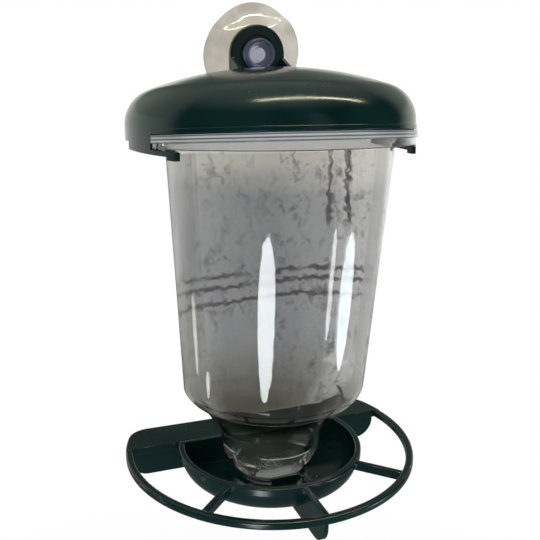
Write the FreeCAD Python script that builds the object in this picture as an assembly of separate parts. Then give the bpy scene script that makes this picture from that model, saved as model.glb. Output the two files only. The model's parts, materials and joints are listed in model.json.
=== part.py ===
import FreeCAD, Part
import math
import os

# Window bird feeder, in millimetres. The origin is the middle of the suction cup's face, on the window pane.
# +Z is up and +Y points into the pane, so the feeder hangs on the -Y side. A reach is a distance from the pane,
# and a height is measured up from the top of the perch.

# Placing of the mouldings
perch_axis_reach = 35.5
hood_axis_reach = 30.0
hopper_axis_reach = 41.0
hopper_base_reach = 38.0
hopper_back_reach = 27.5
rim_height = 160.5
rim_slope = 6.0
cup_above_crest = 6.3

# Hood: a round dome on an upright wall, with its rim rising to the front
hood_radius = 68.5
hood_wall = 2.2
dome_height = 30.0
dome_wall_height = 4.4
dome_shoulder_radius = 16.8
rim_bead_height = 2.0
rim_bead_projection = 0.4
rear_rim_drop = 2.2
back_plate_reach = 8.5
back_plate_thickness = 3.0

# Rails under the hood: level ledges that carry the hopper
slot_end_forward = 25.4
hook_end_forward = 2.0
rail_drop = 3.7
rail_thickness = 2.0
rail_half_gap = 54.5
rail_tip_width = 1.6
rail_tip_length = 4.0
rail_tip_height = 3.4

# Arched tab for the suction cup
tab_width = 27.8
tab_edge_round = 0.8
tab_recess_radius = 9.0
tab_recess_depth = 1.4
gusset_length = 11.0
gusset_thickness = 1.8
gusset_below_axis = 1.6

# Suction cup
cup_radius = 25.2
cup_rim_thickness = 1.0
cup_hollow = 6.2
cup_back_bulge = 1.2
cup_crown_radius = 6.5
cup_neck_radius = 4.0
cup_head_radius = 7.5
cup_head_length = 5.0
cup_head_wall = 1.2
cup_head_hollow = 2.2
cup_button_radius = 4.6
cup_button_height = 1.5
cup_neck_clearance = 0.08
cup_end_clearance = 0.3

# Hopper: half-round clear body on a funnel and a spout with doorways
hopper_wall = 1.8
hopper_base_radius = 46.5
hopper_side_angle = 1.5
back_share = 0.685
base_height = 39.0
shoulder_drop = 11.0
shoulder_radius = 38.2
funnel_height = 11.8
funnel_radius = 27.5
collar_depth = 1.5
collar_radius = 25.0
step_depth = 6.5
step_radius = 22.5
spout_radius = 21.0
spout_foot_radius = 18.2
spout_bevel = 2.2
door_width = 26.0
door_top_height = 3.0
door_sill = 2.6
side_door_width = 10.0
side_door_forward = 5.0
gate_ring_radii = (5.4, 3.2)
gate_ring_width = 1.0
gate_ring_height = 0.5
gate_forward = 2.8

# Hopper's flange: a deeper fascia flush with the hood, and straight runners behind it
rim_gap = 0.4
fascia_height = 8.0
lip_height = 3.2
lip_projection = 0.8
shoulder_gap = 1.6
runner_side_gap = 0.6
runner_overhang = 3.0
rail_gap = 0.4
rail_side_gap = 0.6

# Tray: bowl, perch and the shelf that meets the pane
bowl_radius = 48.0
bowl_rim_width = 3.2
bowl_rim_height = 4.0
bowl_rim_step = 1.2
bowl_rim_round = 0.8
bowl_floor_depth = 14.2
bowl_wall = 1.8
drain_radius = 1.4
drain_spread = 19.5
drain_forward = 18.5
catch_width = 13.6
catch_thickness = 1.8
catch_height = 5.0
catch_gap = 0.4
spout_floor_gap = 0.4
perch_radius = 75.0
perch_width = 3.8
perch_thickness = 4.0
perch_round = 1.2
spoke_angle = 45.0
spoke_width = 3.2
spoke_top_step = 0.3
spoke_depth = 4.2
spoke_round = 0.7
shelf_depth = 21.0
shelf_thickness = 2.5
shelf_corner_radius = 12.0
shelf_rib_width = 1.6
shelf_round = 0.7
foot_depth = 18.0
foot_thickness = 2.2
foot_reach = 15.5
foot_inner = 38.0
foot_inset = 1.0
foot_round = 10.5
fin_thickness = 2.4
fin_start = 28.0
fin_inset = 3.4
fin_round = 10.0

# Worked out from the values above
slope = math.radians(rim_slope)
cup_height = rim_height + dome_height * math.cos(slope) + cup_above_crest
hood_y = -hood_axis_reach
perch_y = -perch_axis_reach
shelf_front_y = -shelf_depth
back_plate_y = -back_plate_reach - back_plate_thickness
slot_end_y = hood_y - slot_end_forward
hook_end_y = hood_y - hook_end_forward
shoulder_y = slot_end_y - shoulder_gap
rail_height = rim_height - rail_drop
hopper_top_radius = rail_half_gap - rail_side_gap
hopper_back_y = -hopper_back_reach
spout_bottom = -bowl_floor_depth + spout_floor_gap
spout_taper = (spout_radius - spout_foot_radius) / (-step_depth - spout_bottom)
far = 2 * (hood_radius + perch_radius + rim_height)
hair = 0.01


def level(height):
    """Z of a height above the perch's top."""
    return height - cup_height


def vec(x, y, z):
    return FreeCAD.Vector(x, y, z)


def block(x0, x1, y0, y1, z0, z1):
    return Part.makeBox(x1 - x0, y1 - y0, z1 - z0, vec(x0, y0, z0))


def top_arcs(shape, z):
    """Round edges that lie at the height z."""
    flat = [e for e in shape.Edges if e.BoundBox.ZLength < hair and abs(e.BoundBox.ZMax - z) < hair]
    return [e for e in flat if isinstance(e.Curve, Part.Circle)]


def upright(x, y, radius, z0, z1):
    return Part.makeCylinder(radius, z1 - z0, vec(x, y, z0))


def along_pane(radius, y0, y1):
    """Cylinder on the suction cup's axis."""
    return Part.makeCylinder(radius, y1 - y0, vec(0, y0, 0), vec(0, 1, 0))


def polygon(points):
    return Part.makePolygon(points + points[:1])


def side_plate(points, x0, x1):
    """Plate with its outline given as (y, z) points, from x0 to x1."""
    outline = polygon([vec(x0, y, z) for y, z in points])
    return Part.Face(outline).extrude(vec(x1 - x0, 0, 0))


def mirrored(shape):
    return shape.mirror(vec(0, 0, 0), vec(1, 0, 0))


def on_rim(shape):
    """Moves a shape from the hood's own frame, with its rim at z = 0, onto the sloping rim."""
    placed = shape.copy()
    placed.rotate(vec(0, 0, 0), vec(1, 0, 0), -rim_slope)
    placed.translate(vec(0, hood_y, level(rim_height)))
    return placed


def revolve(edges, y):
    """Solid of revolution about an upright axis from a closed outline in the plane y = 0."""
    solid = Part.Face(Part.Wire(edges)).revolve(vec(0, 0, 0), vec(0, 0, 1), 360)
    solid.translate(vec(0, y, 0))
    return solid


def arc(centre_x, centre_z, radius, start, end):
    """Arc in the plane y = 0 between two angles in degrees, with its end points."""
    turn = [math.radians(a) for a in (start, (start + end) / 2, end)]
    points = [vec(centre_x + radius * math.cos(a), 0, centre_z + radius * math.sin(a)) for a in turn]
    return Part.Arc(*points).toShape(), points[0], points[2]


def dome(inset, bottom):
    """Dome of the hood, in the hood's own frame, drawn in by inset and carried down to bottom."""
    radius = hood_radius - inset
    shoulder = dome_shoulder_radius - inset
    height = dome_height - inset
    run = radius - shoulder
    rise = height - dome_wall_height
    crown = (run ** 2 + rise ** 2 - shoulder ** 2) / (2 * (rise - shoulder))
    crown_z = height - crown
    meet = math.degrees(math.atan2(dome_wall_height - crown_z, run))
    shoulder_arc, wall_top, knee = arc(run, dome_wall_height, shoulder, 0, meet)
    crown_arc, _, top = arc(0, crown_z, crown, meet, 90)
    base = vec(0, 0, bottom)
    wall_base = vec(radius, 0, bottom)
    edges = [Part.makeLine(base, wall_base), Part.makeLine(wall_base, wall_top), shoulder_arc, crown_arc,
             Part.makeLine(top, base)]
    return revolve(edges, 0)


def rail(outline):
    """Ledge on the right, bounded by the hood's outline, with a deeper end at the front."""
    tip_y = hood_y - math.sqrt(hood_radius ** 2 - (rail_half_gap + rail_tip_width) ** 2)
    top = level(rail_height)
    ledge = block(rail_half_gap, far, tip_y, hook_end_y, top - rail_thickness, top)
    tip = block(rail_half_gap, far, tip_y, tip_y + rail_tip_length, top - rail_tip_height, top)
    return ledge.fuse(tip).common(outline)


def tab():
    """Arched plate that stands on the hood's back and holds the suction cup."""
    half = tab_width / 2
    arch = along_pane(half, back_plate_y, -back_plate_reach)
    stem = block(-half, half, back_plate_y, -back_plate_reach, -cup_above_crest - half, 0)
    plate = arch.fuse(stem).removeSplitter()
    front = [e for e in plate.Edges if e.BoundBox.YMax < back_plate_y + hair and e.BoundBox.ZMax > hair]
    return plate.makeFillet(tab_edge_round, front)


def gusset():
    """Rib on the right that ties the tab to the dome."""
    outer = tab_width / 2
    points = [(back_plate_y, -gusset_below_axis), (back_plate_y - gusset_length, -cup_above_crest),
              (back_plate_y - gusset_length, -dome_height), (back_plate_y, -dome_height)]
    return side_plate(points, outer - gusset_thickness, outer)


def hood():
    deep = rail_drop + rail_tip_height + hood_radius * math.tan(slope) + rear_rim_drop
    outline = on_rim(dome(0, -deep))
    hollow = on_rim(dome(hood_wall, -deep - hood_wall))
    inside = block(-far, far, -far, -back_plate_reach, -far, far)
    back = outline.common(block(-far, far, back_plate_y, -back_plate_reach, -far, far))
    ring = Part.makeCylinder(hood_radius + rim_bead_projection, rim_bead_height)
    bead = on_rim(ring.cut(Part.makeCylinder(hood_radius - hood_wall, rim_bead_height)))
    bead = bead.common(block(-far, far, -far, slot_end_y, -far, far))
    ribs = gusset().fuse(mirrored(gusset())).cut(hollow)
    shell = outline.cut(hollow).common(inside).fuse([back, bead])
    front_waste = on_rim(block(-far, far, -far, far, -far, 0)).common(block(-far, far, -far, slot_end_y, -far, far))
    rear_waste = on_rim(block(-far, far, -far, far, -far, -rear_rim_drop))
    rear_waste = rear_waste.common(block(-far, far, hook_end_y, far, -far, far))
    side_waste = block(-far, far, -far, far, -far, level(rail_height) - rail_thickness)
    shell = shell.cut([front_waste, rear_waste, side_waste])
    shell = shell.fuse([rail(outline), mirrored(rail(outline)), tab(), ribs])
    recess = along_pane(tab_recess_radius, back_plate_y, back_plate_y + tab_recess_depth)
    bore = along_pane(cup_neck_radius + cup_neck_clearance, back_plate_y, -back_plate_reach)
    return shell.cut([recess, bore]).removeSplitter()


def suction_cup():
    """Cup turned about the Y axis; the outline runs from the head to the rim and back along the hollow."""
    seat = back_plate_y + tab_recess_depth - cup_end_clearance
    head = seat - cup_head_length
    well = head + cup_head_hollow
    button = well - cup_button_height
    shoulder = -back_plate_reach + cup_end_clearance
    lip = cup_head_radius - cup_head_wall
    outline = [(0, button), (cup_button_radius, button), (cup_button_radius, well), (lip, well), (lip, head),
               (cup_head_radius, head), (cup_head_radius, seat), (cup_neck_radius, seat),
               (cup_neck_radius, shoulder), (cup_crown_radius, shoulder)]
    points = [vec(r, y, 0) for r, y in outline]
    edges = [Part.makeLine(a, b) for a, b in zip(points, points[1:])]
    rim_back = vec(cup_radius, -cup_rim_thickness, 0)
    rim_front = vec(cup_radius, 0, 0)
    hollow_radius = cup_radius - cup_rim_thickness
    hollow_rim = vec(hollow_radius, 0, 0)
    centre = vec(0, -cup_hollow, 0)
    back_mid = (points[-1] + rim_back) / 2 - vec(0, cup_back_bulge, 0)
    ball = (hollow_radius ** 2 + cup_hollow ** 2) / (2 * cup_hollow)
    half = hollow_radius / 2
    hollow_mid = vec(half, ball - cup_hollow - math.sqrt(ball ** 2 - half ** 2), 0)
    edges += [Part.Arc(points[-1], back_mid, rim_back).toShape(), Part.makeLine(rim_back, rim_front),
              Part.makeLine(rim_front, hollow_rim), Part.Arc(hollow_rim, hollow_mid, centre).toShape(),
              Part.makeLine(centre, points[0])]
    return Part.Face(Part.Wire(edges)).revolve(vec(0, 0, 0), vec(0, 1, 0), 360)


def section(height, radius, reach, inset):
    """Outline of the hopper at a height: a round front, two slanted flats and a flat back."""
    z = level(height)
    axis_y = -reach
    turn = math.radians(hopper_side_angle)
    side_x = radius * math.cos(turn)
    side_y = axis_y + radius * math.sin(turn)
    back_x = radius * back_share
    length = math.hypot(back_x - side_x, hopper_back_y - side_y)
    along_x = (back_x - side_x) / length
    along_y = (hopper_back_y - side_y) / length
    start_x = side_x - inset * along_y
    start_y = side_y + inset * along_x
    inner = radius - inset
    half_b = start_x * along_x + (start_y - axis_y) * along_y
    rest = start_x ** 2 + (start_y - axis_y) ** 2 - inner ** 2
    step = -half_b - math.copysign(math.sqrt(half_b ** 2 - rest), -half_b)
    back_step = (hopper_back_y - inset - start_y) / along_y
    side = vec(start_x + step * along_x, start_y + step * along_y, z)
    back = vec(start_x + back_step * along_x, hopper_back_y - inset, z)
    front = vec(0, axis_y - inner, z)
    left_side = vec(-side.x, side.y, z)
    left_back = vec(-back.x, back.y, z)
    edges = [Part.Arc(side, front, left_side).toShape(), Part.makeLine(left_side, left_back),
             Part.makeLine(left_back, back), Part.makeLine(back, side)]
    return Part.Wire(edges)


def body_section(height, inset):
    """Outline of the tapering body, which is set at the rails and at its base."""
    share = (height - base_height) / (rail_height - base_height)
    radius = hopper_base_radius + share * (hopper_top_radius - hopper_base_radius)
    reach = hopper_base_reach + share * (hopper_axis_reach - hopper_base_reach)
    return section(height, radius, reach, inset)


def shoulder_sections(inset):
    """Outlines down the rounded shoulder, from the body's base to the top of the funnel."""
    steps = 4
    outlines = []
    for i in range(steps + 1):
        turn = math.radians(90 * i / (steps + 1))
        drop = shoulder_drop * math.sin(turn) / math.sin(math.radians(90 * steps / (steps + 1)))
        draw = (1 - math.cos(turn)) / (1 - math.cos(math.radians(90 * steps / (steps + 1))))
        radius = hopper_base_radius + draw * (shoulder_radius - hopper_base_radius)
        reach = hopper_base_reach + draw * (perch_axis_reach - hopper_base_reach)
        outlines.append(section(base_height - drop, radius, reach, inset))
    return outlines


def spout_radius_at(height):
    return spout_radius + spout_taper * (height + step_depth)


def hopper_core(inset, top, step, bottom):
    """The hopper's body, shoulder, funnel and spout as one solid, drawn in by inset."""
    shoulder = shoulder_sections(inset)
    body = Part.makeLoft([shoulder[0], body_section(top, inset)], True, True)
    bend = Part.makeLoft(shoulder, True, False)
    levels = [(funnel_height, funnel_radius), (-collar_depth, collar_radius), (step, step_radius)]
    outlines = [shoulder[-1]] + [section(h, r, perch_axis_reach, inset) for h, r in levels]
    funnel = Part.makeLoft(outlines, True, True)
    foot_radius = spout_radius_at(bottom)
    ends = [(step, spout_radius), (bottom + spout_bevel, spout_radius_at(bottom + spout_bevel)),
            (bottom, foot_radius - spout_bevel)]
    spout = Part.makeLoft([section(h, r, perch_axis_reach, inset) for h, r in ends], True, True)
    return body.fuse([bend, funnel, spout])


def doorways():
    """Cutters for the front doorway and the two side doorways in the spout."""
    z0 = level(spout_bottom + door_sill)
    z1 = level(door_top_height)
    half = door_width / 2
    side = side_door_width / 2
    side_y = perch_y - side_door_forward
    front = block(-half, half, perch_y - 2 * collar_radius, perch_y, z0, z1)
    sides = block(-2 * collar_radius, 2 * collar_radius, side_y - side, side_y + side, z0, z1)
    return [front, sides]


def flange_block(inset, top_gap):
    """Fascia and runners as one solid up to the sloping rim, drawn in by inset."""
    half = math.sqrt((hood_radius - hood_wall) ** 2 - slot_end_forward ** 2) - runner_side_gap
    rear = hopper_back_y + runner_overhang
    tall = fascia_height + rail_drop + hood_radius * math.tan(slope)
    fascia = on_rim(upright(0, 0, hood_radius - inset, -tall, -top_gap))
    fascia = fascia.common(block(-far, far, -far, shoulder_y - inset, -far, far))
    under_rim = on_rim(block(-far, far, -far, far, -tall, -top_gap))
    runners = block(-half + inset, half - inset, shoulder_y - 2 * hopper_wall, rear - inset, -far, far)
    return fascia.fuse(runners.common(under_rim))


def flange_waste():
    """What lies under the flange: below the runners, and below the fascia's rising lower edge."""
    low = level(rail_height + rail_gap)
    front_y = hood_y - hood_radius
    front_low = level(rim_height) + hood_radius * math.sin(slope) - fascia_height
    rise = (front_low - low) / (shoulder_y - front_y)
    points = [(shoulder_y, low), (shoulder_y - far, low + far * rise), (shoulder_y - far, low - far),
              (far, low - far), (far, low)]
    return side_plate(points, -far, far)


def gate_ring(radius, floor):
    """Low round ridge on the hopper's floor."""
    y = perch_y - gate_forward
    disc = upright(0, y, radius, floor, floor + gate_ring_height)
    return disc.cut(upright(0, y, radius - gate_ring_width, floor, floor + gate_ring_height))


def hopper():
    top = rim_height + fascia_height + hood_radius * math.tan(slope)
    floor_top = spout_bottom + hopper_wall
    outside = hopper_core(0, top, -step_depth, spout_bottom)
    inside = hopper_core(hopper_wall, top, -step_depth + hopper_wall, floor_top)
    trim = on_rim(block(-far, far, -far, far, -rim_gap, far))
    channel = flange_block(hopper_wall, rim_gap + hopper_wall)
    flange = flange_block(0, rim_gap).cut([flange_waste(), channel])
    lip = upright(0, 0, hood_radius + lip_projection, -rim_gap - lip_height, -rim_gap)
    lip = on_rim(lip.cut(upright(0, 0, hood_radius - hopper_wall, -rim_gap - lip_height, -rim_gap)))
    lip = lip.common(block(-far, far, -far, shoulder_y, -far, far))
    rings = [gate_ring(radius, level(floor_top)) for radius in gate_ring_radii]
    shell = outside.cut(trim).fuse([flange, lip]).cut([inside] + doorways())
    return shell.fuse(rings).removeSplitter()


def bowl_outline(radius, rim_step, corner, y):
    """Solid of the bowl's outside or inside: a rim band, a rounded wall and a flat floor."""
    band = -bowl_rim_height
    foot = radius - rim_step - corner
    bend, wall_top, floor_edge = arc(foot, band, corner, 0, -90)
    points = [floor_edge, vec(0, 0, floor_edge.z), vec(0, 0, 0), vec(radius, 0, 0), vec(radius, 0, band)]
    edges = [bend] + [Part.makeLine(a, b) for a, b in zip(points, points[1:])]
    if rim_step:
        edges.append(Part.makeLine(points[-1], wall_top))
    solid = revolve(edges, y)
    solid.translate(vec(0, 0, level(0)))
    return solid


def bowl_outside():
    corner = bowl_floor_depth + bowl_wall - bowl_rim_height
    return bowl_outline(bowl_radius, bowl_rim_step, corner, perch_y)


def tray_bowl():
    """D-shaped bowl with a flat back, a catch for the spout and two drain holes."""
    inside = bowl_outline(bowl_radius - bowl_rim_width, 0, bowl_floor_depth - bowl_rim_height, perch_y)
    inside = inside.common(block(-far, far, -far, shelf_front_y - bowl_wall, -far, far))
    shell = bowl_outside().common(block(-far, far, -far, shelf_front_y, -far, far)).cut(inside)
    shell = shell.makeFillet(bowl_rim_round, top_arcs(shell, level(0)))
    floor = level(-bowl_floor_depth)
    catch_y = perch_y - spout_radius_at(catch_height - bowl_floor_depth) - catch_gap
    catch = block(-catch_width / 2, catch_width / 2, catch_y - catch_thickness, catch_y, floor, floor + catch_height)
    drains = [upright(x, perch_y - drain_forward, drain_radius, floor - bowl_wall, floor)
              for x in (-drain_spread, drain_spread)]
    return shell.fuse(catch).cut(drains).removeSplitter()


def spoke(turn):
    """Radial bar from the bowl to the ring; turn is measured from the front."""
    top = level(-spoke_top_step)
    outer = perch_radius - perch_width / 2
    bar = block(-spoke_width / 2, spoke_width / 2, -outer, 0, top - spoke_depth, top)
    ridges = [e for e in bar.Edges if e.BoundBox.ZMin > top - hair and e.BoundBox.YLength > spoke_width]
    bar = bar.makeFillet(spoke_round, ridges)
    bar.rotate(vec(0, 0, 0), vec(0, 0, 1), turn)
    bar.translate(vec(0, perch_y, 0))
    return bar


def front_fin():
    """Upright foot under the middle spoke, with a rounded outer corner."""
    low = level(-foot_depth)
    high = level(-spoke_top_step - spoke_depth / 2)
    points = [(perch_y - fin_start, low), (perch_y - perch_radius + fin_inset, low),
              (perch_y - perch_radius + fin_inset, high), (perch_y - fin_start, high)]
    fin = side_plate(points, -fin_thickness / 2, fin_thickness / 2)
    corner = [e for e in fin.Edges if e.BoundBox.ZMax < low + hair
              and e.BoundBox.YMax < perch_y - perch_radius + fin_inset + hair]
    return fin.makeFillet(fin_round, corner)


def tray_perch():
    """Perch ring on three spokes, with the front foot."""
    ring = upright(0, perch_y, perch_radius, level(-perch_thickness), level(0))
    ring = ring.cut(upright(0, perch_y, perch_radius - perch_width, level(-perch_thickness), level(0)))
    rims = [e for e in ring.Edges if e.BoundBox.ZLength < hair]
    ring = ring.makeFillet(perch_round, rims)
    ring = ring.common(block(-far, far, -far, shelf_front_y, -far, far))
    bars = [spoke(turn) for turn in (-spoke_angle, 0, spoke_angle)]
    return ring.fuse(bars + [front_fin()]).cut(bowl_outside()).removeSplitter()


def foot():
    """Upright plate under the right end of the shelf, with a rounded outer corner."""
    y = -foot_reach
    from_axis = perch_axis_reach - foot_reach
    outer = math.sqrt(perch_radius ** 2 - from_axis ** 2) - foot_inset
    low = level(-foot_depth)
    plate = block(foot_inner, outer, y - foot_thickness / 2, y + foot_thickness / 2, low, level(-shelf_thickness))
    corner = [e for e in plate.Edges if e.BoundBox.ZMax < low + hair and e.BoundBox.XMin > outer - hair]
    return plate.makeFillet(foot_round, corner)


def tray_shelf():
    """Flat shelf from the bowl's back to the pane, with a rib along its front and a foot at each end."""
    disc = upright(0, perch_y, perch_radius, level(-shelf_thickness), level(0))
    plate = disc.common(block(-far, far, shelf_front_y, 0, -far, far))
    corners = [e for e in plate.Edges if e.BoundBox.YMin > -hair and e.BoundBox.ZLength > shelf_thickness - hair]
    plate = plate.makeFillet(shelf_corner_radius, corners)
    rib = upright(0, perch_y, perch_radius, level(-perch_thickness), level(0))
    rib = rib.common(block(-far, far, shelf_front_y, shelf_front_y + shelf_rib_width, -far, far))
    shelf = plate.fuse([rib, foot(), mirrored(foot())]).removeSplitter()
    return shelf.makeFillet(shelf_round, top_arcs(shelf, level(0)))


os.makedirs("parts", exist_ok=True)
for piece in (hood, hopper, tray_bowl, tray_perch, tray_shelf, suction_cup):
    shape = piece()
    print(piece.__name__, len(shape.Solids), shape.isValid(), round(shape.Volume), shape.BoundBox)
    shape.exportStep("parts/" + piece.__name__ + ".step")
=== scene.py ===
import json
import math
from functools import reduce

import bpy
from mathutils import Matrix, Vector


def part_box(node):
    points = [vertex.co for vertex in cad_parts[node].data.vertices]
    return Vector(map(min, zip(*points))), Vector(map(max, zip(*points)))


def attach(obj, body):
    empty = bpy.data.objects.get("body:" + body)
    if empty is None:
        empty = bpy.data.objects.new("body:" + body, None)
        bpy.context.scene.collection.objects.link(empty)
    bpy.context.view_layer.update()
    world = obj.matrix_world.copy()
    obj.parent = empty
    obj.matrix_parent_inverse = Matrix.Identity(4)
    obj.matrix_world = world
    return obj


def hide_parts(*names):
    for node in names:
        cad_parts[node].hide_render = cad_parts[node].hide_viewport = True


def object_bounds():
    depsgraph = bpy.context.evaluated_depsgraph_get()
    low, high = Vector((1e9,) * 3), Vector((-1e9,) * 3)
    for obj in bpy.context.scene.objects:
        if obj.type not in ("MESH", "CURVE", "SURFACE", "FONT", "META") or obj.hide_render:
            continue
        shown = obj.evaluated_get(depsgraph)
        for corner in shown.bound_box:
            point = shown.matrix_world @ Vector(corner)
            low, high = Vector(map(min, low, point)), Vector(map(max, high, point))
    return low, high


# Looks of the window bird feeder, in metres, in the frame of the CAD model: the origin is the
# middle of the suction cup's face, +Z is up and +Y points into the window pane.

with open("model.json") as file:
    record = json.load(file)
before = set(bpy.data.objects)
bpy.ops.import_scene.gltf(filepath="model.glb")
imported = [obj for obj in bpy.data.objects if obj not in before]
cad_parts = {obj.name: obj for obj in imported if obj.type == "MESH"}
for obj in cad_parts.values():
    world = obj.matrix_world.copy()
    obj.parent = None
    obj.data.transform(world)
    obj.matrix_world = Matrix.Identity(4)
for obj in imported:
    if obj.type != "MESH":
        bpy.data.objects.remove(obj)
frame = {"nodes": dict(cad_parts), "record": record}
cad_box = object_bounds()
MM = 0.001

# Camera, fitted to the photo's perch ring, shelf and hood, with angles in degrees
CAMERA_PLACE = Vector((-131.89, -374.63, -3.16)) * MM
CAMERA_TURN = -21.07
CAMERA_DIP = 15.9
CAMERA_ROLL = 0.86
CAMERA_LENS = 50.68
CAMERA_SENSOR = 36
CAMERA_SHIFT = 0.01426
CAMERA_NEAR = 0.01

# Lamps, all at one distance from the point that they look at. Each has its turn from the front
# towards the right and its rise from the horizon, in degrees, its size, radiance and colour
AIM = Vector((0, -60, -100)) * MM
LAMP_REACH = 1.2
LAMPS = {
    "key_lamp": (-31, -28.5, (0.36, 0.33), 12.5, (0.93, 0.98, 1.0)),
    "side_lamp": (64, -24, (0.36, 0.27), 9, (0.82, 0.95, 1.0)),
    "rim_lamp": (-126, -25, (0.12, 0.16), 3, (1.0, 0.98, 0.95)),
    "slit_lamp": (42, -24, (0.11, 0.22), 8, (0.98, 0.98, 1.0)),
    "corner_lamp": (-108, -31, (0.10, 0.05), 6, (1.0, 1.0, 1.0)),
}

# Ceiling tube, which shines straight down
TUBE_PLACE = Vector((0.4, -0.55, 1.0))
TUBE_SIZE = (1.65, 0.045)
TUBE_RADIANCE = 60
TUBE_COLOUR = (1.0, 0.95, 0.66)

# Room: its brightness to diffuse rays, then that of its parts in reflections
AMBIENT = 0.55
ROOM_DARK = 0.025
ROOM_BRIGHT = 0.75
ROOM_DIM = 0.14
ROOM_LEFT = 0.75
ROOM_RIGHT = 0.50
ROOM_FRONT = 0.32

# Range of a direction's X, Y or Z over which each part of the room sets in
CEILING_RISE = (0.45, 0.95)
LEFT_WALL = (0.2, -0.5)
RIGHT_WALL = (0.2, 0.9)
WALLS_BEHIND = (0.0, 0.3)
BACKDROP_BEHIND = (0.0, 0.4)
BACKDROP_TOP = (0.30, 0.12)
GLOW_FORWARD = (-0.86, -0.93)
GLOW_RIGHT = (0.05, 0.25)

# Floor: its drop below the feeder and its half width, how far behind it turns white in reflections,
# and the distances from the origin over which the shadow fades, with the shares of plain white there
FLOOR_DROP = 0.62
FLOOR_REACH = 12.0
FLOOR_BEHIND = (1.0, 2.4)
SHADOW_FADE = (0.85, 1.30)
SHADOW_WHITE = (0.90, 1.0)

# Colours, linear
WHITE = (1, 1, 1, 1)
GREEN_DEEP = (0.0015, 0.0195, 0.0200, 1)
GREEN_MID = (0.0036, 0.0290, 0.0290, 1)
# Pale edge colour: partly wear, partly painted highlight
GREEN_WORN_AND_HIGHLIT = (0.026, 0.066, 0.060, 1)
# Dust colour, also used for the painted sheen on the roof's top
DUST_AND_SHEEN = (0.29, 0.34, 0.29, 1)
CLEAR_PALE = (0.63, 0.622, 0.580, 1)
CLEAR_GREY = (0.41, 0.418, 0.428, 1)
CLEAR_LOW = (0.19, 0.180, 0.138, 1)
CLEAR_LEFT = (0.38, 0.378, 0.372, 1)
CLEAR_RIGHT = (0.88, 0.875, 0.860, 1)
CLEAR_MARK = (0.085, 0.070, 0.074, 1)
CLEAR_FLANGE = (0.74, 0.74, 0.73, 1)
CLEAR_LIP = (0.92, 0.92, 0.91, 1)
CLEAR_STREAK = (0.26, 0.26, 0.36, 1)
CLEAR_SPOUT = (0.97, 0.975, 0.94, 1)
CUP_CREAM = (0.54, 0.505, 0.425, 1)
CUP_PALE = (0.70, 0.67, 0.60, 1)
CUP_LILAC = (0.36, 0.38, 0.58, 1)
PAPER = (0.30, 0.32, 0.34, 1)
PAPER_LIGHT = (0.33, 0.35, 0.37, 1)
ROOM_WARM = (0.93, 1.0, 0.88, 1)

# Green plastic: pale edges by how far the rounded normal leans, partly wear and partly painted highlight,
# dust by how far a face looks up, and a pale film by height on the roof, partly dust and partly painted
# sheen
GREEN_ROUNDING = 0.5 * MM
WORN_AND_HIGHLIT_LEAN = (0.99, 0.80)
WORN_AND_HIGHLIT_COVER = 0.55
LOOKS_UP = (0.2, 0.9)
DUST_COVER = 0.6
ROOF_DUST_AND_SHEEN = (-12 * MM, 4 * MM)
DUST_AND_SHEEN_COVER = (0.06, 0.16)
GREEN_ROUGHNESS = (0.12, 0.18)
SCUFF_ROUGHNESS = (0.0, 0.06)

# Clear plastic: where along Y the hopper's flat back and flat sides lie
HOPPER_BACK = (-30.2 * MM, -29.6 * MM)
HOPPER_SIDE = (-43.5 * MM, -42.5 * MM)
SIDE_COVER = 0.85

# Where its grey changes along Z, and along X
HOPPER_TOP = (-60 * MM, -48 * MM)
HOPPER_LOW = (-135 * MM, -175 * MM)
HOPPER_LEFT = (-20 * MM, -48 * MM)
LEFT_COVER = 0.25
HOPPER_RIGHT = (0 * MM, 50 * MM)
RIGHT_COVER = 0.5

# Heights where the grey ends at the neck, lower at the back, and where the spout is a little milky
HOPPER_NECK = (-180 * MM, -171 * MM)
NECK_BACK = (-52 * MM, -42 * MM)
NECK_LIFT = 9 * MM
HOPPER_SPOUT = (-190 * MM, -202 * MM)
SPOUT_CLARITY = (1.0, 0.955)

# Flange, measured upwards from the sloping rim of the hood
RIM_SLOPE = 0.105
RIM_HEIGHT = -39.25 * MM
HOPPER_FASCIA = (-8.9 * MM, -8.2 * MM)
HOPPER_LIP = (-4.0 * MM, -3.4 * MM)
LIP_CLARITY = (1.0, 0.45)
LIP_LINES = (-0.9 * MM, -2.3 * MM, -3.7 * MM)
LIP_LINE_WIDTH = 0.5 * MM

# Marks in the back and sides: level lines by Z, and upright lines and denser mottles by X
LEVEL_MARKS = (-105.3 * MM, -111.2 * MM, -119 * MM)
UPRIGHT_MARKS = (33 * MM, 42 * MM)
UPRIGHT_REACH = (-88 * MM, -78 * MM)
MARK_WIDTH = 1.5 * MM
MARK_SWAY = 7 * MM
MARK_WOBBLE = 6 * MM
MOTTLE_PLACES = (10 * MM, 36 * MM)
MOTTLE_BAND = (12 * MM, 4 * MM)
MOTTLE_COVER = 0.75

# Finish of the clear plastic: its ripples are deepest in the flat back
CLEAR_ROUNDING = 0.7 * MM
CLEAR_ROUGHNESS = (0.004, 0.02)
RIPPLE_DEPTH = (0.012 * MM, 0.2 * MM)

# Depths between which the suction cup's plastic changes from its disc to its head
CUP_HEAD = (-8 * MM, -11 * MM)
CUP_CLARITY = (0.88, 0.66)
CUP_ROUGHNESS = (0.06, 0.12)

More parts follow.
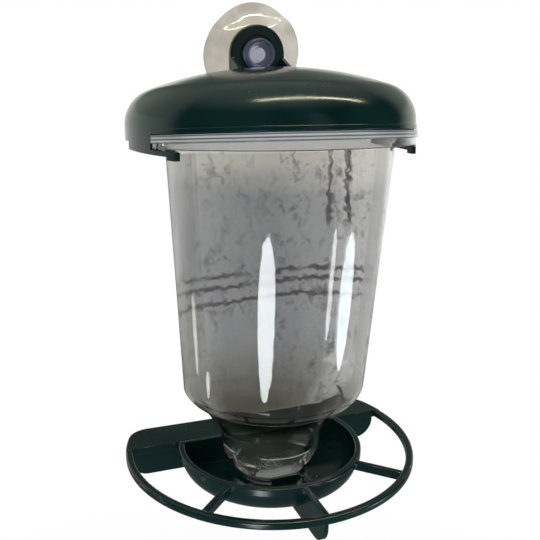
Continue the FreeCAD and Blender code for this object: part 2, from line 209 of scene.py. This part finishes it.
# Shape of the suction cup, in millimetres. The head and neck are an outline of radius, place along
# the axis, and rounding, from the head's middle
CUP_STEM = [(0.0, -14.8, 0.0), (0.9, -14.8, 0.3), (1.5, -14.2, 0.3), (3.1, -14.2, 0.3),
            (3.6, -14.7, 0.25), (5.3, -14.7, 0.4), (5.3, -13.2, 0.4), (6.3, -13.2, 0.5),
            (6.3, -15.4, 0.35), (7.5, -15.4, 0.5), (7.5, -10.4, 0.5), (4.0, -10.4, 0.3),
            (4.0, -8.2, 0.2), (6.5, -8.2, 0.4)]
CUP_RIM = 1.0
CUP_HOLLOW = 6.2
SKIRT_ROUNDING = 0.4
CORNER_STEPS = 5
SKIRT_STEPS = 14
TURN_STEPS = 144

# Its soft skirt: waves all round, each with its height, count and start, a curl of the rim, and a fold
CUP_WAVE = 0.35
WAVE_MIDDLE = 0.5
WAVES = [(0.3, 3, 0.8), (0.2, 7, 2.1)]
CUP_CURL = 1.9
CUP_CURL_TURN = math.radians(-40)
CUP_CURL_SPREAD = math.radians(32)
CUP_FOLD = 2.6
CUP_FOLD_HEIGHT = 14.0
CUP_FOLD_RISE = 0.19
CUP_FOLD_WIDTH = 5.5


class Tree:
    """A node tree under construction, with short ways to add nodes."""

    def __init__(self, tree):
        self.tree = tree

    def add(self, kind, inputs=None, **properties):
        """New node. An input is a value, or the output that feeds it."""
        new = self.tree.nodes.new(kind)
        for name, value in properties.items():
            setattr(new, name, value)
        for name, value in (inputs or {}).items():
            if isinstance(value, bpy.types.NodeSocket):
                self.tree.links.new(value, new.inputs[name])
            else:
                new.inputs[name].default_value = value
        return new

    def math(self, operation, a, b=0.0):
        return self.add("ShaderNodeMath", {0: a, 1: b}, operation=operation).outputs[0]

    def vector_math(self, operation, a, b):
        return self.add("ShaderNodeVectorMath", {0: a, 1: b}, operation=operation).outputs

    def over(self, operation, values):
        """One operation over several values, from left to right."""
        return reduce(lambda a, b: self.math(operation, a, b), values)

    def product(self, *values):
        return self.over("MULTIPLY", values)

    def largest(self, *values):
        return self.over("MAXIMUM", values)

    def axes(self, vector):
        """The x, y and z of a vector."""
        return self.add("ShaderNodeSeparateXYZ", {0: vector}).outputs

    def ramp(self, value, start, end, low=0.0, high=1.0):
        """Smooth step from low to high as the value goes from start to end."""
        inputs = {"Value": value, "From Min": start, "From Max": end, "To Min": low, "To Max": high}
        return self.add("ShaderNodeMapRange", inputs, interpolation_type="SMOOTHSTEP").outputs[0]

    def mix(self, share, a, b):
        """Colour between a and b."""
        return self.add("ShaderNodeMix", {0: share, 6: a, 7: b}, data_type="RGBA").outputs[2]


class Surface(Tree):
    """A procedural material: its shader, and patterns in the frame's own coordinates."""

    def __init__(self, name, constants):
        self.material = bpy.data.materials.new(name)
        self.material.use_nodes = True
        super().__init__(self.material.node_tree)
        self.shader = next(n for n in self.tree.nodes if n.type == "BSDF_PRINCIPLED")
        for socket, value in constants.items():
            self.shader.inputs[socket].default_value = value
        self.place = self.add("ShaderNodeTexCoord").outputs["Object"]

    def feed(self, **outputs):
        """Links outputs to the shader's sockets, which are named as in base_color."""
        for socket, output in outputs.items():
            self.tree.links.new(output, self.shader.inputs[socket.replace("_", " ").title()])

    def wobble(self, cells, reach):
        """Shifts the place that later patterns are read at by a fine noise."""
        inputs = {"Vector": self.place, "Scale": cells, "Detail": 1.0}
        shift = self.add("ShaderNodeTexNoise", inputs).outputs["Color"]
        centred = self.vector_math("SUBTRACT", shift, (0.5, 0.5, 0.5))[0]
        scaled = self.vector_math("MULTIPLY", centred, (reach, reach, reach))[0]
        self.place = self.vector_math("ADD", self.place, scaled)[0]

    def noise(self, cells, detail=2.0, stretch=(1, 1, 1), distortion=0.0):
        """Noise around 0.5, with about so many cells to a metre."""
        place = self.add("ShaderNodeMapping", {"Vector": self.place, "Scale": stretch}).outputs[0]
        inputs = {"Vector": place, "Scale": cells, "Detail": detail, "Distortion": distortion}
        return self.add("ShaderNodeTexNoise", inputs).outputs[0]

    def patches(self, levels, values=(0.0, 1.0), **pattern):
        """Smooth patches: one value below the two levels of a noise, and the other above."""
        return self.ramp(self.noise(**pattern), *levels, *values)

    def specks(self, cells, size):
        """Small round spots, with so many cells to a metre."""
        spots = self.add("ShaderNodeTexVoronoi", {"Vector": self.place, "Scale": cells})
        return self.ramp(spots.outputs["Distance"], size, size / 2)

    def nearest(self, value, places):
        """Distance from a value to the nearest of some places."""
        gaps = [self.math("ABSOLUTE", self.math("SUBTRACT", value, place)) for place in places]
        return self.over("MINIMUM", gaps)

    def strokes(self, value, places, width):
        """1 where a value is at one of some places, and 0 from a width away."""
        return self.ramp(self.nearest(value, places), width, width / 4)

    def lines(self, axis, places):
        """Thin swaying lines that cross an axis at the given places."""
        sway = self.math("SUBTRACT", self.noise(cells=24), 0.5)
        along = self.math("ADD", self.axes(self.place)[axis], self.product(sway, MARK_SWAY))
        return self.strokes(along, places, MARK_WIDTH)

    def soft_edges(self, radius):
        """Normal that is rounded over the edges."""
        return self.add("ShaderNodeBevel", {"Radius": radius}, samples=6).outputs[0]

    def bump(self, height, depth, normal=None):
        inputs = {"Height": height, "Distance": depth, "Strength": 1.0}
        if normal is not None:
            inputs["Normal"] = normal
        return self.add("ShaderNodeBump", inputs).outputs[0]


def green_plastic():
    """Dark green moulded plastic: cloudy gloss, pale edges that are partly wear and partly painted
    highlight, a little dust where it faces up, and on the roof's top a film that is partly dust and partly
    painted sheen.
    """
    s = Surface("green_plastic", {"IOR": 1.5, "Specular IOR Level": 0.38})
    soft_normal = s.soft_edges(GREEN_ROUNDING)
    normal = s.add("ShaderNodeNewGeometry").outputs["Normal"]
    lean = s.vector_math("DOT_PRODUCT", soft_normal, normal)["Value"]
    up = s.ramp(s.axes(normal)[2], *LOOKS_UP)
    height = s.axes(s.place)[2]
    clouds = {"cells": 34, "detail": 3}

    base = s.mix(s.patches((0.32, 0.68), **clouds), GREEN_DEEP, GREEN_MID)
    # Pale edges: partly wear, partly painted highlight along the rounded edges
    base = s.mix(s.ramp(lean, *WORN_AND_HIGHLIT_LEAN, 0.0, WORN_AND_HIGHLIT_COVER), base, GREEN_WORN_AND_HIGHLIT)
    dusty = s.patches((0.48, 0.66), (0.0, DUST_COVER), cells=60, detail=4)
    base = s.mix(s.product(s.specks(cells=520, size=0.16), dusty, up), base, DUST_AND_SHEEN)
    # Film on the roof's top: partly dust, partly painted sheen where the top catches the light
    dust_and_sheen_film = s.patches((0.2, 0.8), DUST_AND_SHEEN_COVER, **clouds)
    base = s.mix(s.product(up, s.ramp(height, *ROOF_DUST_AND_SHEEN), dust_and_sheen_film), base, DUST_AND_SHEEN)

    scuffs = {"cells": 300, "detail": 3, "stretch": (1, 1, 0.12), "distortion": 0.6}
    rough = s.math("ADD", s.patches((0.35, 0.65), GREEN_ROUGHNESS, **clouds),
                   s.patches((0.55, 0.72), SCUFF_ROUGHNESS, **scuffs))
    grain = s.bump(s.noise(cells=2400), depth=0.003 * MM, normal=soft_normal)
    waves = s.bump(s.noise(cells=48, detail=1), depth=0.05 * MM, normal=grain)
    s.feed(base_color=base, roughness=rough, normal=waves)
    return s.material


def hopper_grey(s, x, z, side):
    """Grey of the hopper: paler at the top, to the left and right, and darker low down."""
    clouds = s.patches((0.32, 0.68), (0.25, 0.0), cells=20, detail=4, stretch=(1, 1, 0.7), distortion=0.8)
    base = s.mix(s.largest(clouds, s.ramp(z, *HOPPER_TOP)), CLEAR_GREY, CLEAR_PALE)
    base = s.mix(s.ramp(z, *HOPPER_LOW), base, CLEAR_LOW)
    base = s.mix(s.ramp(x, *HOPPER_RIGHT, 0.0, RIGHT_COVER), base, CLEAR_RIGHT)
    base = s.mix(s.ramp(x, *HOPPER_LEFT, 0.0, LEFT_COVER), base, CLEAR_RIGHT)
    strip = s.mix(s.ramp(x, *HOPPER_RIGHT), CLEAR_LEFT, CLEAR_RIGHT)
    return s.mix(s.product(side, SIDE_COVER), base, strip)


def hopper_marks(s, x, z):
    """Mottles and thin broken lines: 0 in plain plastic, up to 1 in a mark."""
    upright = s.product(s.lines(0, UPRIGHT_MARKS), s.ramp(z, *UPRIGHT_REACH))
    broken = s.patches((0.22, 0.50), cells=70, detail=3)
    lines = s.product(s.largest(s.lines(2, LEVEL_MARKS), upright), broken)
    spread = s.largest(s.patches((0.38, 0.62), (0.30, 0.9), cells=26),
                       s.ramp(s.nearest(x, MOTTLE_PLACES), *MOTTLE_BAND),
                       s.ramp(s.nearest(z, LEVEL_MARKS), *MOTTLE_BAND))
    mottle = s.patches((0.53, 0.69), cells=230, detail=3, stretch=(1, 1, 0.6), distortion=0.9)
    return s.largest(lines, s.product(mottle, spread, MOTTLE_COVER))


def hopper_flange(s, base, rise):
    """Pale flange whose whiter lip has dark lines along it."""
    base = s.mix(s.ramp(rise, *HOPPER_FASCIA), base, CLEAR_FLANGE)
    lip = s.mix(s.strokes(rise, LIP_LINES, LIP_LINE_WIDTH), CLEAR_LIP, CLEAR_STREAK)
    return s.mix(s.ramp(rise, *HOPPER_LIP), base, lip)


def clear_plastic():
    """Clear plastic of the hopper: grey, with wobbly marks in its flat back and sides, and paler at
    its flange and spout."""
    s = Surface("clear_plastic", {"IOR": 1.49})
    x, y, z = s.axes(s.place)
    back = s.ramp(y, *HOPPER_BACK)
    side = s.product(s.ramp(y, *HOPPER_SIDE), s.math("SUBTRACT", 1.0, back))
    rise = s.math("SUBTRACT", s.math("ADD", z, s.product(y, RIM_SLOPE)), RIM_HEIGHT)
    lifted = s.math("ADD", z, s.ramp(y, *NECK_BACK, 0.0, NECK_LIFT))

    base = hopper_grey(s, x, z, side)
    s.wobble(cells=260, reach=MARK_WOBBLE)
    base = s.mix(s.product(hopper_marks(s, x, z), s.largest(back, side)), base, CLEAR_MARK)
    base = s.mix(s.ramp(lifted, *HOPPER_NECK), CLEAR_SPOUT, base)
    base = hopper_flange(s, base, rise)

    rough = s.patches((0.42, 0.72), CLEAR_ROUGHNESS, cells=70, detail=4, stretch=(1, 1, 0.3))
    ripples = s.noise(cells=40, stretch=(1, 1, 0.4), distortion=0.3)
    waves = s.bump(ripples, s.ramp(back, 0.0, 1.0, *RIPPLE_DEPTH), s.soft_edges(CLEAR_ROUNDING))
    clear = s.product(s.ramp(z, *HOPPER_SPOUT, *SPOUT_CLARITY), s.ramp(rise, *HOPPER_LIP, *LIP_CLARITY))
    s.feed(base_color=base, roughness=rough, normal=waves, transmission_weight=clear)
    return s.material


def soft_clear():
    """Milky soft plastic of the suction cup, cream at the disc and bluish at the head."""
    s = Surface("soft_clear", {"IOR": 1.46})
    depth = s.axes(s.place)[1]
    base = s.mix(s.patches((0.35, 0.65), cells=60, detail=3), CUP_CREAM, CUP_PALE)
    base = s.mix(s.ramp(depth, *CUP_HEAD), base, CUP_LILAC)
    clear = s.ramp(depth, *CUP_HEAD, *CUP_CLARITY)
    rough = s.patches((0.4, 0.7), CUP_ROUGHNESS, cells=140, detail=3)
    waves = s.bump(s.noise(cells=70), depth=0.2 * MM)
    s.feed(base_color=base, roughness=rough, normal=waves, transmission_weight=clear)
    return s.material


def dress_cad_nodes():
    """Each CAD node gets the material of its slot in the record."""
    looks = {"green_plastic": green_plastic(), "clear_plastic": clear_plastic(), "soft_clear": soft_clear()}
    for part in frame["record"]["subparts"]:
        mesh = frame["nodes"][part["node"]].data
        mesh.materials.clear()
        mesh.materials.append(looks[part["material_slot"]])
    return looks


def rounded(corners):
    """Outline through corners given as radius, place and rounding; each is bent over its rounding."""
    points = [Vector(corners[0][:2])]
    for before, corner, after in zip(corners, corners[1:], corners[2:]):
        here = Vector(corner[:2])
        start = here + (Vector(before[:2]) - here).normalized() * corner[2]
        end = here + (Vector(after[:2]) - here).normalized() * corner[2]
        for i in range(CORNER_STEPS + 1):
            t = i / CORNER_STEPS
            points.append(start * (1 - t) ** 2 + here * 2 * t * (1 - t) + end * t ** 2)
    return points + [Vector(corners[-1][:2])]


def cup_outline(radius):
    """Half outline of the suction cup, from the middle of its head to the middle of its hollow."""
    root_radius, root_y, _ = CUP_STEM[-1]
    skirt = []
    hollow = []
    for i in range(1, SKIRT_STEPS):
        t = i / SKIRT_STEPS
        fall = root_y + (-CUP_RIM - root_y) * t ** 3 * (10 - 15 * t + 6 * t * t)
        skin = CUP_RIM + (-CUP_HOLLOW - root_y - CUP_RIM) * (1 - t) ** 2
        skirt.append((root_radius + (radius - root_radius) * t, fall, SKIRT_ROUNDING))
        hollow.insert(0, (root_radius + (radius - CUP_RIM - root_radius) * t, fall + skin, SKIRT_ROUNDING))
    rim = [(radius, -CUP_RIM, 0.4), (radius, 0.0, 0.35), (radius - CUP_RIM, 0.0, 0.3)]
    return rounded(CUP_STEM + skirt + rim + hollow + [(0.0, -CUP_HOLLOW, 0.0)])


def smooth(value):
    """Smooth step from 0 to 1."""
    t = min(1.0, max(0.0, value))
    return t * t * (3 - 2 * t)


def rim_give(turn):
    """How far the soft rim is bent forward and in at a turn about the axis."""
    ripple = WAVE_MIDDLE + sum(height * math.sin(count * turn + start) for height, count, start in WAVES)
    off = math.remainder(turn - CUP_CURL_TURN, 2 * math.pi)
    return CUP_WAVE * ripple + CUP_CURL * math.exp(-(off / CUP_CURL_SPREAD) ** 2)


def cup_point(r, y, turn, radius):
    """Point of the outline, turned about the Y axis and bent with the soft skirt."""
    reach = max(0.0, (r - radius / 2) / (radius / 2))
    give = rim_give(turn) * reach ** 2
    x = (r - give) * math.sin(turn)
    z = (r - give) * math.cos(turn)
    below = (CUP_FOLD_HEIGHT + CUP_FOLD_RISE * x - z) / CUP_FOLD_WIDTH
    fold = CUP_FOLD * smooth(below + 0.5) * smooth(z / radius + 0.5) * reach
    return Vector((x, y - give - fold, z)) * MM


def suction_cup(material):
    """Soft cup turned about the Y axis, in place of its CAD solid."""
    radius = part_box("suction_cup")[1].x / MM
    outline = cup_outline(radius)
    row = len(outline) - 2
    head = TURN_STEPS * row
    hollow = head + 1
    points = []
    faces = []
    for j in range(TURN_STEPS):
        turn = 2 * math.pi * j / TURN_STEPS
        points += [cup_point(r, y, turn, radius) for r, y in outline[1:-1]]
        a = j * row
        b = (j + 1) % TURN_STEPS * row
        faces += [(a + i, b + i, b + i + 1, a + i + 1) for i in range(row - 1)]
        faces.append((head, b, a))
        faces.append((hollow, a + row - 1, b + row - 1))
    points += [Vector((0, p.y, 0)) * MM for p in (outline[0], outline[-1])]
    mesh = bpy.data.meshes.new("soft_cup")
    mesh.from_pydata(points, [], faces)
    mesh.shade_smooth()
    mesh.materials.append(material)
    cup = bpy.data.objects.new("soft_cup", mesh)
    bpy.context.collection.objects.link(cup)
    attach(cup, "cup")
    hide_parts("suction_cup")


def direction(turn, rise):
    """Unit vector at a turn from the front towards the right, and a rise from the horizon, in degrees."""
    turn = math.radians(turn)
    rise = math.radians(rise)
    return Vector((math.sin(turn) * math.cos(rise), -math.cos(turn) * math.cos(rise), math.sin(rise)))


def lamp(name, place, target, size, radiance, colour, shape="ELLIPSE"):
    """Area lamp that looks at target. Its power follows from its radiance and area."""
    data = bpy.data.lights.new(name, "AREA")
    data.shape = shape
    data.size, data.size_y = size
    area = data.size * data.size_y * (math.pi / 4 if shape == "ELLIPSE" else 1)
    data.energy = radiance * area * math.pi
    data.color = colour
    new = bpy.data.objects.new(name, data)
    new.location = place
    new.rotation_euler = (target - place).to_track_quat("-Z", "Y").to_euler()
    new.visible_camera = False
    bpy.context.collection.objects.link(new)
    return new


def light():
    """Soft lamps low around the feeder, and a long ceiling tube that doesn't light matt surfaces."""
    for name, (turn, rise, size, radiance, colour) in LAMPS.items():
        lamp(name, AIM + LAMP_REACH * direction(turn, rise), AIM, size, radiance, colour)
    below = TUBE_PLACE - Vector((0, 0, 1))
    tube = lamp("ceiling_tube", TUBE_PLACE, below, TUBE_SIZE, TUBE_RADIANCE, TUBE_COLOUR, "RECTANGLE")
    tube.visible_diffuse = False


def surroundings():
    """White where the camera or the clear plastic looks. Reflections show the white backdrop low behind
    the feeder, and elsewhere a dim room with a brighter ceiling and walls and a glow in front."""
    world = bpy.data.worlds.new("room")
    bpy.context.scene.world = world
    world.use_nodes = True
    world.node_tree.nodes.clear()
    t = Tree(world.node_tree)
    path = t.add("ShaderNodeLightPath").outputs
    x, y, z = t.axes(t.add("ShaderNodeTexCoord").outputs["Generated"])

    ceiling = t.ramp(z, *CEILING_RISE, ROOM_DARK, ROOM_BRIGHT)
    left = t.ramp(x, *LEFT_WALL, ROOM_DIM, ROOM_LEFT)
    right = t.ramp(x, *RIGHT_WALL, ROOM_DIM, ROOM_RIGHT)
    walls = t.product(t.ramp(y, *WALLS_BEHIND), t.largest(left, right))
    backdrop = t.product(t.ramp(y, *BACKDROP_BEHIND), t.ramp(z, *BACKDROP_TOP))
    glow = t.product(t.ramp(y, *GLOW_FORWARD, 0.0, ROOM_FRONT), t.ramp(x, *GLOW_RIGHT))

    glossy = path["Is Glossy Ray"]
    reflected = t.product(glossy, t.largest(ceiling, walls, backdrop, glow))
    ambient = t.product(t.math("SUBTRACT", 1.0, glossy), AMBIENT)
    seen = t.largest(path["Is Camera Ray"], path["Is Transmission Ray"])
    strength = t.largest(seen, t.math("ADD", reflected, ambient))
    colour = t.mix(seen, ROOM_WARM, WHITE)
    sky = t.add("ShaderNodeBackground", {"Color": colour, "Strength": strength})
    t.add("ShaderNodeOutputWorld", {"Surface": sky.outputs[0]})


def floor_paper():
    """Grained grey paper. It is white to the camera, through clear plastic and, far behind, in
    reflections, apart from a faint shadow."""
    material = bpy.data.materials.new("floor_paper")
    material.use_nodes = True
    material.node_tree.nodes.clear()
    t = Tree(material.node_tree)
    path = t.add("ShaderNodeLightPath").outputs
    spot = t.add("ShaderNodeTexCoord").outputs["Object"]
    behind = t.ramp(t.axes(spot)[1], *FLOOR_BEHIND)
    reflected = t.product(path["Is Glossy Ray"], behind)
    seen = t.largest(path["Is Camera Ray"], path["Is Transmission Ray"], reflected)
    away = t.add("ShaderNodeVectorMath", {0: spot}, operation="LENGTH").outputs["Value"]
    share = t.product(seen, t.ramp(away, *SHADOW_FADE, *SHADOW_WHITE))
    grain = t.add("ShaderNodeTexNoise", {"Scale": 40.0, "Detail": 4.0}).outputs[0]
    tone = t.mix(t.ramp(grain, 0.3, 0.7), PAPER, PAPER_LIGHT)
    matt = t.add("ShaderNodeBsdfDiffuse", {"Color": tone}).outputs[0]
    plain = t.add("ShaderNodeEmission", {"Color": WHITE, "Strength": 1.0}).outputs[0]
    paper = t.add("ShaderNodeMixShader", {0: share, 1: matt, 2: plain}).outputs[0]
    t.add("ShaderNodeOutputMaterial", {"Surface": paper})
    return material


def floor():
    """Wide floor well below the hanging feeder."""
    low = cad_box[0][2] - FLOOR_DROP
    corners = [(FLOOR_REACH * x, FLOOR_REACH * y, low) for x, y in ((-1, -1), (1, -1), (1, 1), (-1, 1))]
    mesh = bpy.data.meshes.new("floor")
    mesh.from_pydata(corners, [], [(0, 1, 2, 3)])
    mesh.materials.append(floor_paper())
    ground = bpy.data.objects.new("floor", mesh)
    bpy.context.collection.objects.link(ground)


def camera():
    """Camera at the photo's viewpoint."""
    data = bpy.data.cameras.new("camera")
    data.lens = CAMERA_LENS
    data.sensor_width = CAMERA_SENSOR
    data.shift_y = CAMERA_SHIFT
    data.clip_start = CAMERA_NEAR
    eye = bpy.data.objects.new("camera", data)
    turn = Matrix.Rotation(math.radians(CAMERA_TURN), 4, "Z")
    dip = Matrix.Rotation(math.radians(90 - CAMERA_DIP), 4, "X")
    roll = Matrix.Rotation(math.radians(CAMERA_ROLL), 4, "Z")
    eye.matrix_world = Matrix.Translation(CAMERA_PLACE) @ turn @ dip @ roll
    bpy.context.collection.objects.link(eye)
    bpy.context.scene.camera = eye


looks = dress_cad_nodes()
suction_cup(looks["soft_clear"])
light()
surroundings()
floor()
camera()
bpy.context.scene.view_settings.view_transform = "Standard"
